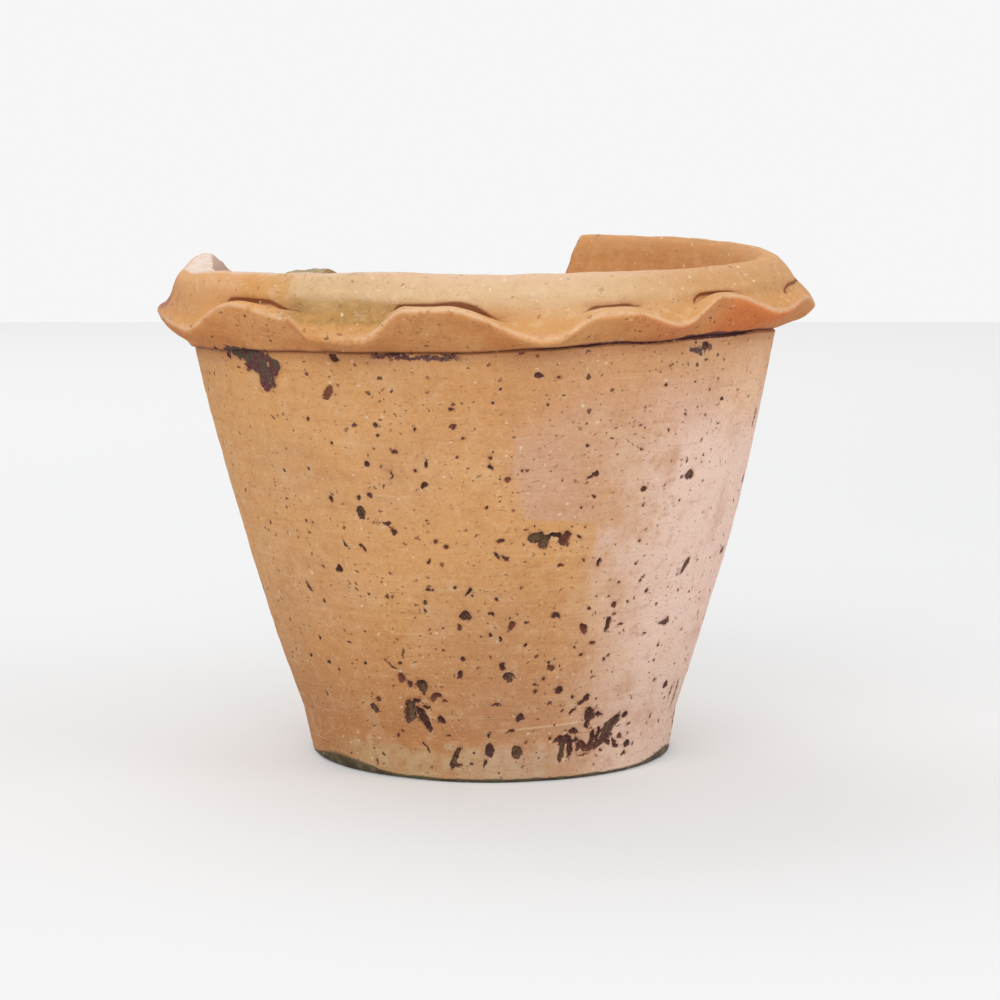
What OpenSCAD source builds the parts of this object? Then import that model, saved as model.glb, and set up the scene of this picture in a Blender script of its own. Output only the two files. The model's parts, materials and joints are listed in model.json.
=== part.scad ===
// Hand-thrown terracotta flower pot with a crimped band under its rim.
// One piece of fired clay: part of the rim and upper wall is broken out at the back.
// Millimetres. Origin at the centre of the foot, on the ground. +Z is up and -Y is the front.
// Angles round the pot are counted from the front, and grow towards +X.

/* [Pot] */
// Height of the rim above the ground
pot_h = 184; // [150:1:225]
// Radius of the foot on the ground, before its worn edge
foot_r = 66.5; // [55:0.5:80]
// Height of the nearly upright foot
foot_h = 17; // [12:0.5:24]
// How much wider the foot is at its top
foot_flare = 2.8; // [1:0.1:5]
// Outer radius of the wall where the band starts
wall_top_r = 106.5; // [88:0.5:128]
// How far the wall bulges out past a straight cone
belly = 2.6; // [0:0.1:5]
// Thickness of the wall
wall_t = 9.5; // [7.5:0.1:12]
// Thickness of the base
base_t = 11; // [8:0.5:14]
// Worn bevel round the foot's lower edge
foot_bevel = 2.6; // [1:0.1:4]
// Width of the soft corner inside, where the base meets the wall
floor_corner = 5; // [3:0.5:8]

/* [Drain] */
// Radius of the drain hole through the base
drain_r = 10; // [6:0.5:14]

/* [Rim] */
// Height of the rim above the underside of the band
rim_h = 29.5; // [24:0.5:36]
// How far the rim stands out past the top of the wall
rim_out = 7.5; // [6:0.1:9]
// Radius that rounds the top of the rim
rim_round = 6; // [5:0.1:6.5]
// How much wider the mouth is than the inside of the wall below it
mouth_flare = 1.5; // [0.5:0.1:2]
// Depth of the rim's widest ring below its top
rim_belt = 16; // [14:0.5:18]

/* [Crimped band] */
// How far the band's lip stands out past the top of the wall
lip_out = 15; // [12.5:0.1:18]
// Thickness of the lip
lip_t = 3.6; // [3:0.1:4.4]
// Depth of the lip's edge below the rim's top, where the band is pinched up
crest_drop = 13.5; // [12.5:0.1:15]
// Depth of the lip's edge below the rim's top, where the band is pressed down
trough_drop = 23.8; // [21:0.1:26]
// How far the band's clay is smeared over the wall and the rim
band_lap = 0.8; // [0.6:0.1:1.2]

/* [Break] */
// Slope of the broken edge from the inside of the wall down to the outside
break_lean = 3.2; // [0:0.1:6]

/* [Hidden] */

$fn = 180;
wall_steps = 14; // rings that shape the wall's bulge
round_steps = 8; // facets over the rim's rounded top
band_step = 3; // degrees from one section of the band to the next

band_z = pot_h - rim_h;
belt_z = pot_h - rim_belt;
belt_r = wall_top_r + rim_out;
inner_top_r = wall_top_r - wall_t;
tip_r = wall_top_r + lip_out;
band_root_r = wall_top_r - wall_t / 2;

// Pinches round the band, in the order they were made:
// [angle, how far up the lip is pinched from 0 to 1, rise of the band's foot, rise of its lip]
crimps = [
    [-61, 0, 0.4, 1], [-46.5, 1, 2, 0.2], [-34, 0.6, 3.2, 1.6], [-28.5, 0.1, 3.8, 2.2], [-20, 0.05, 4.2, 2.2],
    [-12.5, 0.95, 4.4, 1], [-6, 1, 4.5, 0.8], [9, 0, 5.8, 3.3], [19, 0.68, 6.6, 2.8], [24, 0.7, 7, 2.8],
    [33.5, 0.22, 6.6, 4.2], [44, 0.95, 7.4, 3.6], [60, 0.2, 7, 4.2], [82, 1, 4.8, 1.6], [98, 0.1, 1.5, 0.5],
    [116, 0.9, 0.5, 0], [133, 0, 0, 0], [150, 1, 0, 0], [168, 0.2, 0, 0], [185, 0.8, 0, 0], [203, 0, 0, 0],
    [221, 1, 0, 0], [236, 0.1, -0.6, 0.2], [252, 0.9, -2.4, 0.4], [275, 0.35, -2, 0.7], [299, 0, 0.4, 1]
];

// The broken edge: [angle, depth below the rim's top]. Its ends lie above the rim.
broken_edge = [
    [158, -6], [158.8, 4], [160.5, 12], [163.5, 27], [168, 38], [174, 43], [180, 48], [187, 50], [193, 45],
    [199, 46], [204, 38], [208, 27], [211, 17], [213.5, 15], [218, 12], [221.5, 14], [226, 16], [232, 15],
    [237, 13.5], [242, 12], [248, 11], [252, 10], [256, 8], [259.5, 5], [262.5, 2.5], [264.5, -6]
];

// The chips and wear along the rim's top, beside the break
worn_edge = [
    [262.5, -6], [263.5, 1], [266.5, 1.5], [268, 3], [270, 4.6], [276, 5], [284, 4.6], [292, 3.9], [301, 3.1],
    [315, 1.8], [328, 0.8], [337, -6]
];

function mix(a, b, t) = a + (b - a) * t;

// A point at a radius, an angle from the front and a height
function spot(r, angle, z) = [r * sin(angle), -r * cos(angle), z];

// Outer radius of the wall at a height between the foot and the band
function wall_r(z) =
    let (t = (z - foot_h) / (band_z - foot_h))
    mix(foot_r + foot_flare, wall_top_r, t) + 4 * belly * t * (1 - t);

// The row of crimps at an angle from the first one to the last, eased from each crimp to the next
function crimp(angle) =
    let (
        i = [for (k = [0 : len(crimps) - 2]) if (angle >= crimps[k][0] && angle <= crimps[k + 1][0]) k][0],
        t = (angle - crimps[i][0]) / (crimps[i + 1][0] - crimps[i][0])
    )
    mix(crimps[i], crimps[i + 1], (1 - cos(180 * t)) / 2);

// How much of [the foot's rise, the lip's rise] each point of the band's section takes
rise_shares = [[1, 0], [0.7, 0.3], [0, 1], [0, 1], [0, 1], [0, 1], [0, 0.5], [0, 0]];

// The band's section where it is pressed down, as [radius, height].
// Both sections run from the root in the wall, out along the underside, round the lip and back over the top.
trough_tip_z = pot_h - trough_drop;
trough_section = [
    [band_root_r, band_z - band_lap],
    [mix(wall_top_r, tip_r, 0.5), band_z + band_lap],
    [tip_r - lip_t / 3, trough_tip_z - lip_t / 2],
    [tip_r, trough_tip_z],
    [tip_r - lip_t / 2, trough_tip_z + lip_t / 2],
    [mix(belt_r, tip_r, 0.45), mix(trough_tip_z, belt_z, 0.45) + lip_t / 2],
    [belt_r + band_lap, belt_z + band_lap],
    [band_root_r, belt_z + wall_t]
];

// The band's section where it is pinched up, with a groove between the lip and the rim
crest_tip_z = pot_h - crest_drop;
crest_section = [
    [band_root_r, band_z - band_lap],
    [mix(wall_top_r, tip_r, 0.42), mix(band_z, crest_tip_z, 0.25)],
    [tip_r - 0.7 * lip_t, mix(band_z, crest_tip_z, 0.75)],
    [tip_r - lip_t / 4, crest_tip_z],
    [tip_r - 0.75 * lip_t, crest_tip_z + 0.55 * lip_t],
    [tip_r - 1.45 * lip_t, crest_tip_z + 0.5 * lip_t],
    [belt_r + band_lap, crest_tip_z - 0.3 * lip_t],
    [band_root_r, crest_tip_z - lip_t]
];

// Solid between rings of points, where each ring is the same closed section at a further angle.
// A closed band joins its last ring to its first. An open one is capped.
module swept(rings, closed) {
    n = len(rings);
    m = len(rings[0]);
    sides = [
        for (i = [0 : n - (closed ? 1 : 2)], j = [0 : m - 1])
        let (a = i * m, b = ((i + 1) % n) * m, k = (j + 1) % m)
        each [[a + j, b + k, b + j], [a + j, a + k, b + k]]
    ];
    caps = closed ? [] : [[for (j = [m - 1 : -1 : 0]) j], [for (j = [0 : m - 1]) (n - 1) * m + j]];
    polyhedron(points = [for (ring = rings) each ring], faces = concat(sides, caps));
}

// Wall, base and plain rim, turned about the pot's axis
module thrown_wall() {
    outside = [for (i = [0 : wall_steps])
        let (z = mix(foot_h, band_z, i / wall_steps)) [wall_r(z), z]];
    corner_z = base_t + floor_corner;
    inside = [for (i = [0 : wall_steps])
        let (z = mix(band_z, max(corner_z, foot_h), i / wall_steps)) [wall_r(z) - wall_t, z]];
    mouth_r = inner_top_r + mouth_flare;
    rim_top = [for (i = [0 : round_steps])
        let (a = 180 * i / round_steps) [mouth_r + rim_round * (1 + cos(a)), pot_h - rim_round * (1 - sin(a))]];
    rotate_extrude()
        polygon(concat(
            [[0, 0], [foot_r - foot_bevel, 0], [foot_r, foot_bevel]],
            outside,
            [[mix(wall_top_r, belt_r, 0.25), mix(band_z, belt_z, 0.66)], [belt_r, belt_z]],
            rim_top,
            inside,
            [[foot_r + foot_flare - wall_t - floor_corner, base_t], [0, base_t]]
        ));
}

// The applied clay band, pinched up and pressed down by hand
module crimped_band() {
    swept([
        for (angle = [crimps[0][0] : band_step : crimps[len(crimps) - 1][0] - band_step])
        let (row = crimp(angle), rises = [row[2], row[3]])
        [for (j = [0 : len(trough_section) - 1])
            let (p = mix(trough_section[j], crest_section[j], row[1]))
            spot(p[0], angle, p[1] + rises * rise_shares[j])]
    ], closed = true);
}

// What is missing above an edge of [angle, depth] points, cut straight through the wall
module missing_above(edge, lean) {
    near_r = inner_top_r - 2 * wall_t;
    far_r = tip_r + wall_t;
    over_z = pot_h + wall_t;
    swept([
        for (p = edge)
        [
            spot(near_r, p[0], pot_h - p[1] + lean / 2),
            spot(far_r, p[0], pot_h - p[1] - lean / 2),
            spot(far_r, p[0], over_z),
            spot(near_r, p[0], over_z)
        ]
    ], closed = false);
}

module drain_hole() {
    past = 1; // how far the cut runs past each face of the base
    translate([0, 0, -past]) cylinder(r = drain_r, h = base_t + 2 * past);
}

module pot() {
    color("#cf9a66")
    difference() {
        union() {
            thrown_wall();
            crimped_band();
        }
        missing_above(broken_edge, break_lean);
        missing_above(worn_edge, 0);
        drain_hole();
    }
}

pot();
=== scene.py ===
"""A hand-thrown terracotta flower pot with a crimped band, broken out at the back of its rim."""
import itertools
import json
import math

import bpy
import numpy as np
from mathutils import Matrix, Vector


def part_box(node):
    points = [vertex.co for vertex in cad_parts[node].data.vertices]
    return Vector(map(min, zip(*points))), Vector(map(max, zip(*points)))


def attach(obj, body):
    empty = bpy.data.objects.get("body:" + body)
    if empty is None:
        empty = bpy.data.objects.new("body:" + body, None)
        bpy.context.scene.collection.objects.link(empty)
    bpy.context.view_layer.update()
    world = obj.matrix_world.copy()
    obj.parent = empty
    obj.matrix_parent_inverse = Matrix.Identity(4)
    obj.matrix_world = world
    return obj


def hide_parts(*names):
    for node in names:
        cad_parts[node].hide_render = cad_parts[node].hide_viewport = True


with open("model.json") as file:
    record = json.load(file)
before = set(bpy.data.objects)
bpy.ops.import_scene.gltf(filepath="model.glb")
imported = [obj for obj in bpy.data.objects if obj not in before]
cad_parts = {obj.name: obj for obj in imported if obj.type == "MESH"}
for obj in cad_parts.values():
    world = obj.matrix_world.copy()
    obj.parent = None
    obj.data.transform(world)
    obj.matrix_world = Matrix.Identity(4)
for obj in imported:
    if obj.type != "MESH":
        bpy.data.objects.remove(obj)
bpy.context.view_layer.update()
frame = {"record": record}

# ---------------------------------------------------------------- sizes
# Lengths are millimetres. Angles are degrees round the pot, counted from the front, and grow towards +X.
MM = 0.001
POT_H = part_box("pot")[1].z / MM
drain = next(m for m in frame["record"]["mounts"] if m["name"] == "drain_hole")["dims"]
DRAIN_R = drain["r_mm"]
BASE_T = drain["length_mm"]

FOOT_R = 66.5
FOOT_H = 17.0
FOOT_FLARE = 2.8
FOOT_BEVEL = 2.6
WALL_TOP_R = 106.5
BELLY = 2.6
WALL_T = 9.5
FLOOR_CORNER = 5.0
RIM_H = 29.5
SEAM_Z = POT_H - RIM_H

COLUMNS = 1080
TRIANGLES = 190000

# Pinches round the band, in the order they were made:
# (angle, how far up the lip is pinched from 0 to 1, rise of the band's foot, rise of its lip)
CRIMPS = [
    (-61, 0, 0.4, 1), (-46.5, 1, 2, 0.2), (-34, 0.6, 3.2, 1.6), (-28.5, 0.1, 3.8, 2.2),
    (-20, 0.05, 4.2, 2.2), (-12.5, 0.95, 4.4, 1), (-6, 1, 4.5, 0.8), (10.5, 0, 5.9, 3.3),
    (20.5, 0.68, 6.7, 2.8), (25.5, 0.7, 7, 2.8), (34.5, 0.22, 6.6, 4.2), (44.5, 0.95, 7.4, 3.6),
    (61, 0.3, 7, 4.2), (82, 1, 4.8, 1.6), (98, 0.1, 1.5, 0.5), (116, 0.9, 0.5, 0), (133, 0, 0, 0),
    (150, 1, 0, 0), (168, 0.2, 0, 0), (185, 0.8, 0, 0), (203, 0, 0, 0), (221, 1, 0, 0),
    (236, 0.1, -0.6, 0.2), (252, 0.9, -2.4, 0.4), (275, 0.35, -2, 0.7), (299, 0, 0.4, 1),
]

# The band and rim in section, as (out past the top of the wall, down from the rim's top).
# Both lists run from the seam out along the underside, round the lip, up the rim and over its top.
PRESSED = [
    (-0.9, 30.9), (0.9, 30.8), (2.4, 29.5), (7.8, 28), (13.8, 26.4), (15, 24.8), (14.1, 23), (11.4, 20),
    (8.3, 15.6), (6.8, 11.5), (5.8, 7), (3.5, 3.5), (0.5, 1), (-3, 0), (-6.2, 1.2), (-7.9, 4.5),
    (-8.5, 9), (-9.2, 18), (-9.6, 31),
]
PINCHED = [
    (-0.9, 30.9), (0.9, 30.6), (2.2, 28.6), (6.6, 23.2), (12.2, 14.9), (13.4, 12.4), (12.4, 11),
    (8.9, 10.8), (6, 13.4), (6.5, 9.6), (5.8, 7), (3.5, 3.5), (0.5, 1), (-3, 0), (-6.2, 1.2),
    (-7.9, 4.5), (-8.5, 9), (-9.2, 18), (-9.6, 31),
]
# Where the lip is rolled over on the right, with its edge low and its back filled up to the rim
ROLLED = [
    (-0.9, 30.9), (0.9, 30.4), (3.2, 28.8), (7.2, 26.4), (11.2, 23.6), (14.2, 20.8), (14.4, 19.2),
    (12.4, 15.8), (9.4, 12.2), (7.2, 9.4), (5.8, 6.8), (3.5, 3.5), (0.5, 1), (-3, 0), (-6.2, 1.2),
    (-7.9, 4.5), (-8.5, 9), (-9.2, 18), (-9.6, 31),
]
# Where the lip is drawn out thin on the left, under a rim that leans in
DRAWN = [
    (-0.9, 30.9), (0.9, 30.8), (2.6, 30), (6.5, 28.6), (10.4, 25.7), (12.2, 22.4), (12.2, 20.2),
    (9.6, 18.4), (7.6, 15.6), (6.2, 11.4), (4.6, 7.8), (1.8, 4.4), (-0.8, 1.6), (-3.6, 0.3),
    (-6.2, 1.2), (-7.9, 4.5), (-8.5, 9), (-9.2, 18), (-9.6, 31),
]
# Where round the pot each of these is centred, and how wide it spreads
ROLLED_AT = 88
ROLLED_SPREAD = 12
DRAWN_AT = -92
DRAWN_SPREAD = 26
RAISED_AT = 135
RAISED_SPREAD = 32
# Places along the sections, counted from their first point
LIP_POINT = 5
GROOVE_POINT = 8
RIM_POINT = 13
# The crease beside the front pinch
CREASE_AT = -1
# Depth of the seam under the band below the rim's top, and the place given to what is not on the band
SEAM_DROP = 30.9
OFF_BAND = -9.0

# The pot leans to the left by this much for its height
LEAN = 0.0162

# The broken edge: (angle, depth below the rim's top)
BROKEN_EDGE = [
    (157.6, -9), (158.3, 1.5), (159.3, 5), (160.5, 12), (163.5, 27), (168, 38), (174, 43), (180, 48),
    (187, 50), (193, 45), (199, 46), (204, 38), (208, 27), (211, 17), (213.5, 15), (218, 12),
    (221.5, 14), (226, 16), (232, 15), (237, 13.5), (242, 12), (248, 11), (252, 10), (256, 8),
    (259.5, 5), (262.5, 2.5), (264.5, -9),
]
# Slope of the break from the inside of the wall down to the outside, and how far the missing piece reaches
BREAK_LEAN = 3.2
CUT_FROM_R = 80
CUT_TO_R = 131
CUT_OVER_RIM = 14

# Depth worn off the top of the rim beside the break: (angle, depth)
WORN_EDGE = [
    (-99, 0), (-97, 1), (-93.5, 1.5), (-92, 3), (-90, 4.6), (-84, 5), (-76, 4.6), (-68, 3.9),
    (-59, 3.1), (-45, 1.8), (-32, 0.8), (-14, 0),
]

# Hollows in the wall: (angle, height, length, width, slant, depth, tone).
# Slant is the long side's rise to the right. Tone runs from 0, rust brown, to 1, olive black.
HOLLOWS = [
    # under the band
    (-28.5, 155, 4, 3.4, 0, 1.2, 0.4), (-31, 142.5, 6, 3.2, 50, 0.8, 0), (46, 157, 4, 3, 0, 0.8, 0.7),
    (10.5, 149.5, 3.6, 2.2, -20, 0.7, 0.2), (14, 149, 2.4, 1.4, 0, 0.6, 0.2),
    (20, 148.5, 1.6, 2, 60, 0.6, 0.1), (3, 144.5, 2.2, 1.6, 40, 0.6, 0.2),
    (7, 158, 2.4, 1.4, 10, 0.6, 0.7),
    # upper wall
    (-26, 131, 1.8, 1.5, 0, 0.6, 0.2), (-21.5, 131.5, 1.8, 1.8, 0, 0.6, 0.6),
    (-13.5, 130.5, 1.4, 1.8, 0, 0.6, 0.2), (-6, 131.5, 3, 2.2, 20, 0.7, 0.1),
    (-4, 127.5, 1.6, 1.4, 0, 0.6, 0.1), (-18, 122, 2.8, 1.8, 0, 0.7, 0.3),
    (-24.5, 117, 2.6, 2, 15, 0.8, 0.4), (-12, 118.5, 4, 1.6, 80, 0.9, 0.4),
    (-12.5, 110.5, 3.6, 2.2, 55, 1, 0.5), (1, 120.5, 1.8, 1.4, 0, 0.6, 0.2),
    (1, 117, 2.4, 2, 0, 0.8, 0.2), (4.5, 113, 2, 1.8, 0, 0.7, 0.2), (7.5, 115.5, 1.4, 1.4, 0, 0.6, 0.2),
    (-5.5, 121, 1.4, 1.2, 0, 0.5, 0.2), (-24.5, 106, 3, 1.6, -45, 0.7, 0.2),
    (-19.5, 113.5, 4.2, 0.9, 75, 0.5, 0.2), (-20.5, 110, 3.4, 1, 15, 0.5, 0.2),
    (-27.5, 100, 5, 3.4, -75, 1.4, 1), (-27.5, 105, 2.2, 1.4, 80, 0.6, 0.4),
    (-22, 96.5, 4.2, 1.5, 0, 0.8, 0.3), (-20.5, 93.5, 4.4, 1.5, -65, 0.8, 0.3),
    (-34.5, 103.5, 2.4, 2.8, 0, 0.9, 0.6), (-39, 114, 1.6, 1.4, 0, 0.6, 0.3),
    (-32, 124, 1.6, 1.4, 0, 0.6, 0.3), (23, 114, 3.8, 2.2, 20, 0.9, 0.3),
    (21.5, 112.5, 2, 0.9, 10, 0.6, 0.3), (23, 106, 2.6, 1.3, -20, 0.6, 0.2),
    (35, 107.5, 2.4, 2.2, 0, 0.8, 0.4), (47.5, 110.5, 4, 3.8, 0, 0.9, 0.9),
    (32, 130.5, 1.8, 1.4, 0, 0.6, 0.2), (49.5, 123, 1.8, 1.6, 40, 0.6, 0.3),
    (54, 137, 1.6, 2.8, 80, 0.6, 0.3), (37, 144, 1.6, 1.3, 0, 0.5, 0.2),
    (43, 133, 1.6, 1.3, 0, 0.5, 0.2),
    # middle of the wall
    (11.5, 91.5, 7.5, 4, 4, 1.7, 1), (12.7, 90.5, 5, 3.8, 15, 1.7, 0.9),
    (15, 92.5, 6.5, 2, -8, 1.4, 0.5), (17.5, 90.5, 5.5, 3.6, 60, 1.5, 0.3),
    (20.5, 91.5, 3, 1.1, -35, 0.7, 0.3), (-28.5, 86.5, 4.4, 1.6, -60, 0.8, 0.3),
    (-32.5, 87.5, 5.2, 0.9, -70, 0.4, 0.6), (-11, 90.5, 1.8, 1.8, 0, 0.7, 0.2),
    (-9, 88.5, 1.8, 1.6, 0, 0.7, 0.2), (3, 91, 2.4, 1.6, 20, 0.6, 0.4),
    (2.5, 85.5, 3.8, 1.3, -50, 0.6, 0.7), (4, 85, 3.8, 1.3, -20, 0.6, 0.7),
    (-13, 83, 3.2, 1.7, 75, 0.8, 0.2), (-36, 77.5, 3.2, 2.6, 60, 1.3, 0.6),
    (-47.5, 69.5, 5.2, 2, -58, 0.9, 1), (-24, 69, 1.6, 1.4, 0, 0.6, 0.2),
    (-4.5, 72.5, 4.2, 1.7, 60, 0.8, 0.4), (-7.5, 73.5, 1.4, 1.4, 0, 0.6, 0.2),
    (-13, 72.5, 2.2, 1.1, -30, 0.5, 0.4), (26, 81.5, 3.8, 1.8, 70, 0.9, 0.5),
    (16.5, 81.5, 2.2, 1.5, 10, 0.7, 0.1), (36, 80, 2, 1.3, 0, 0.5, 0.5),
    (53, 76.5, 7, 2.6, 60, 0.5, 0.9), (41, 69, 2.2, 1.6, 20, 0.7, 0.3), (36, 88.5, 2, 1.4, 0, 0.6, 0.3),
    # lower wall
    (-5, 63, 4.2, 4, 0, 1, 0.6), (-7, 59, 1.8, 2.4, 0, 0.8, 0.1), (-15, 64.5, 1.2, 2, 0, 0.5, 0.2),
    (1, 64, 2.8, 2.2, -50, 0.7, 0.7), (0.5, 56, 2, 1.5, 0, 0.7, 0.2), (5.5, 59, 5, 2, 38, 0.9, 0.3),
    (3, 54.5, 1.4, 2, 0, 0.6, 0.3), (16.5, 63, 4.2, 2, 10, 0.8, 0.4), (24, 57.5, 5.4, 3, -60, 1.3, 0.2),
    (27, 51.5, 2.2, 1.8, 20, 0.8, 0.2), (30.5, 57.5, 5.4, 2.4, 62, 1, 0.6),
    (31.5, 65, 2.4, 2.8, 0, 0.8, 0.2), (32, 61.5, 1.8, 1.3, 0, 0.6, 0.2),
    (34.5, 57.5, 2.6, 1.2, 10, 0.5, 0.3), (43, 52.5, 2.4, 1.2, 30, 0.6, 0.2),
    (49.5, 56, 5.6, 2, 5, 0.3, 0.8), (-6.5, 47, 1.5, 1.8, 0, 0.6, 0.4),
    (-7.5, 40.5, 3.4, 1.8, 80, 0.8, 0.4), (3.5, 44.5, 2.6, 2.2, 0, 0.9, 0.2),
    (5.5, 40.5, 4.2, 4.2, 0, 0.9, 0.9), (15.5, 45.5, 1.5, 1.2, 0, 0.6, 0.2),
    (16.5, 43, 3, 2.2, 0, 0.9, 0.2), (12.5, 37, 1.6, 1.5, 0, 0.7, 0.1),
    (12.5, 34.5, 1.6, 1.3, 0, 0.7, 0.1), (19, 34.5, 3.2, 2.6, 60, 0.8, 0.5),
    (29, 38.5, 2.2, 1, 10, 0.4, 0.3), (56, 19, 1.4, 2.4, 0, 0.5, 0.8),
    (-22, 47.5, 4, 0.9, 82, 0.5, 0.4), (-23.5, 44, 2.3, 1.7, 0, 0.8, 0.3),
    (-26.5, 43.5, 5.6, 1, -35, 0.6, 0.3), (-34, 43, 1.6, 1.2, 0, 0.6, 0.2),
    (-24, 39, 3.8, 3.2, -30, 1.1, 0), (-21.5, 37, 3, 2, 80, 0.9, 0.2), (-18, 36.5, 5, 4.4, -50, 1.6, 1),
    (-15.5, 32, 4.4, 2.4, 60, 1, 0.2), (-13.5, 33, 3.4, 2, -40, 1, 0.2),
    (-14, 23.5, 4.2, 2.8, -40, 1.2, 0.4), (-32.5, 29.5, 2.8, 2, 30, 0.8, 0.1),
    (-34.5, 26, 4.2, 2.6, -20, 1.1, 1),
    # the two long gouges at the foot's front left
    (-23, 25.5, 10, 4.4, 68, 1.5, 0.9), (-19, 23.5, 11, 3.8, -72, 1.7, 0.6),
    (-17.5, 28, 2.6, 1.8, 0, 0.8, 0.5), (-21, 29.5, 6, 1.4, 20, 1, 0.7),
    (-26.5, 18, 1.4, 1.3, 0, 0.5, 0.3), (-19.5, 12.5, 5.6, 1.2, -60, 0.4, 0.5),
    (-12, 17.5, 1.6, 1.2, 0, 0.6, 0.2), (-10.5, 9.5, 9, 2.2, 66, 1.1, 1),
    (-0.5, 12, 5.2, 3.4, 65, 1, 0.5), (-1.5, 8, 4, 1, 80, 0.6, 0.5), (-0.5, 18, 1.6, 1.5, 0, 0.6, 0.2),
    (2, 29.5, 2.8, 1.2, 0, 0.5, 0.4), (6.5, 19.5, 2.8, 1.8, 10, 0.8, 0.3),
    (8.5, 24.5, 4, 2.8, 70, 0.8, 0.4), (8, 11.5, 4.4, 3.8, 0, 1.1, 0.9),
    # the cluster at the foot's front right
    (23.5, 31.5, 1.7, 1.3, 0, 0.6, 0.3), (28, 30.5, 3, 2.4, 70, 1, 0.3), (26, 29, 3, 1.6, 10, 0.9, 0.3),
    (24, 26, 2.4, 1.5, 40, 0.8, 0.3), (29.5, 24.5, 5.2, 4.2, 0, 1.3, 0.6),
    (32.5, 23.5, 4, 1.6, -10, 1, 0.5), (29.5, 20.5, 3.2, 2.2, 80, 0.9, 0.4),
    (25, 18.5, 4, 3.2, 0, 1.1, 0.3), (21, 15.5, 5.6, 2.4, 0, 1.1, 0.4),
    (21.5, 11.5, 8, 2.6, 85, 1.2, 0.9), (24.5, 11.5, 8.6, 2.4, 82, 1.2, 0.3),
    (28, 13, 4, 2.8, 0, 1.1, 0.2), (31.5, 14.5, 6.2, 2.8, 70, 1.2, 0.5),
    (33.5, 16.5, 5, 2.2, 60, 1.1, 0.4), (38.5, 18.5, 11.5, 5, 50, 1.8, 0.7),
    (35.5, 13, 4, 1.8, 40, 1, 0.3), (43, 22, 3.2, 2.8, 0, 1, 0.4), (43, 14, 2.8, 2.4, 0, 0.9, 0.2),
    (46, 10.5, 3.4, 3.2, 0, 0.9, 0.5), (41.5, 10.5, 2.6, 1.7, 0, 0.8, 0.3),
    (45.5, 7, 3.6, 1.7, 10, 0.8, 0.3), (38, 12, 2.6, 2, 0, 0.9, 0.3), (29, 9, 7, 0.9, 5, 0.4, 0.7),
    (26, 15, 3, 2, 30, 1, 0.4), (27, 12, 3.5, 2.4, 80, 0.9, 0.4), (30.5, 11.5, 5.5, 3, 20, 1, 0.3),
    (34, 12.5, 5, 3, 30, 1, 0.4), (37, 14, 5, 2.6, 0, 1, 0.4), (40.5, 12.5, 4.5, 2, -50, 0.8, 0.3),
    (23, 16, 4, 3, 0, 0.9, 0.5),
    # the right edge
    (59.5, 30, 3.2, 3, 0, 0.8, 0.8), (70, 24, 12, 1.8, 88, 0.8, 0.3), (65, 26, 8, 1.2, 85, 0.5, 0.4),
]

# How many hollows are scattered: small ones all round, bigger ones round the back, and those in clusters
SMALL_HOLLOWS = 380
BACK_HOLLOWS = 150
CLUSTERED_HOLLOWS = 60
# Where round the back the clusters are, low on the wall
CLUSTERS_AT = [112, 150, 205, 246]

# A raised scar in the skin of the wall: where it is round the pot, and how high up
SCAR_AT = -16
SCAR_UP = 116

# Patches of dark flaked skin under the band: (angle, height, length, width)
BURNT = [
    (-48, 151, 15, 9), (-50, 153, 15, 5.5), (-54, 154, 12, 3.5), (-46.5, 146, 10, 8),
    (-43.5, 150, 7, 6), (-47, 142.5, 5, 4.5), (-45, 147.5, 8, 5), (-58, 152.5, 3.5, 3),
    (-61.5, 153.5, 3.5, 2),
]

# ---------------------------------------------------------------- shapes worked out in millimetres
LATTICE = 32


def lumps(points, size, seed):
    """Smooth random bumps from -1 to 1, each about this size, at points in millimetres."""
    lattice = np.random.default_rng(seed).uniform(-1, 1, (LATTICE, LATTICE, LATTICE))
    scaled = points / size
    cell = np.floor(scaled).astype(int)
    part = scaled - cell
    part = part * part * (3 - 2 * part)
    total = np.zeros(points.shape[:-1])
    for corner in itertools.product((0, 1), repeat=3):
        weight = np.prod(np.where(corner, part, 1 - part), axis=-1)
        at = (cell + corner) % LATTICE
        total += weight * lattice[at[..., 0], at[..., 1], at[..., 2]]
    return total


def smooth(low, high, values):
    """0 below low and 1 above high, with a soft step between them."""
    t = np.clip((values - low) / (high - low), 0, 1)
    return t * t * (3 - 2 * t)


def near(values, centre, width):
    """1 at the centre, falling away over a width."""
    return np.exp(-((values - centre) / width) ** 2)


def outside_r(z):
    """Outer radius of the foot and wall at a height."""
    foot = FOOT_R + FOOT_FLARE * (z - FOOT_BEVEL) / (FOOT_H - FOOT_BEVEL)
    t = (z - FOOT_H) / (SEAM_Z - FOOT_H)
    wall = FOOT_R + FOOT_FLARE + (WALL_TOP_R - FOOT_R - FOOT_FLARE) * t + 4 * BELLY * t * (1 - t)
    return np.where(z < FOOT_H, foot, wall)


def crimped(angles):
    """The pinch, the rise of the band's foot and the rise of its lip, at angles round the pot."""
    knots = np.array(CRIMPS, float)
    wrapped = (angles - knots[0, 0]) % 360 + knots[0, 0]
    i = np.clip(np.searchsorted(knots[:, 0], wrapped, side="right") - 1, 0, len(knots) - 2)
    t = (wrapped - knots[i, 0]) / (knots[i + 1, 0] - knots[i, 0])
    eased = (1 - np.cos(math.pi * t)) / 2
    return (knots[i] + (knots[i + 1] - knots[i]) * eased[:, None])[:, 1:].T


def along_angles(table, angles):
    """The columns of a table of (angle, ...) at angles round the pot."""
    table = np.array(table, float)
    return [np.interp(angles, table[:, 0], column) for column in table.T[1:]]


def places(angles, r, z):
    """Points at angles round the pot, radii and heights."""
    turn = np.radians(angles)
    return np.stack([r * np.sin(turn), -r * np.cos(turn), z + 0 * turn], axis=-1)


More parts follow.
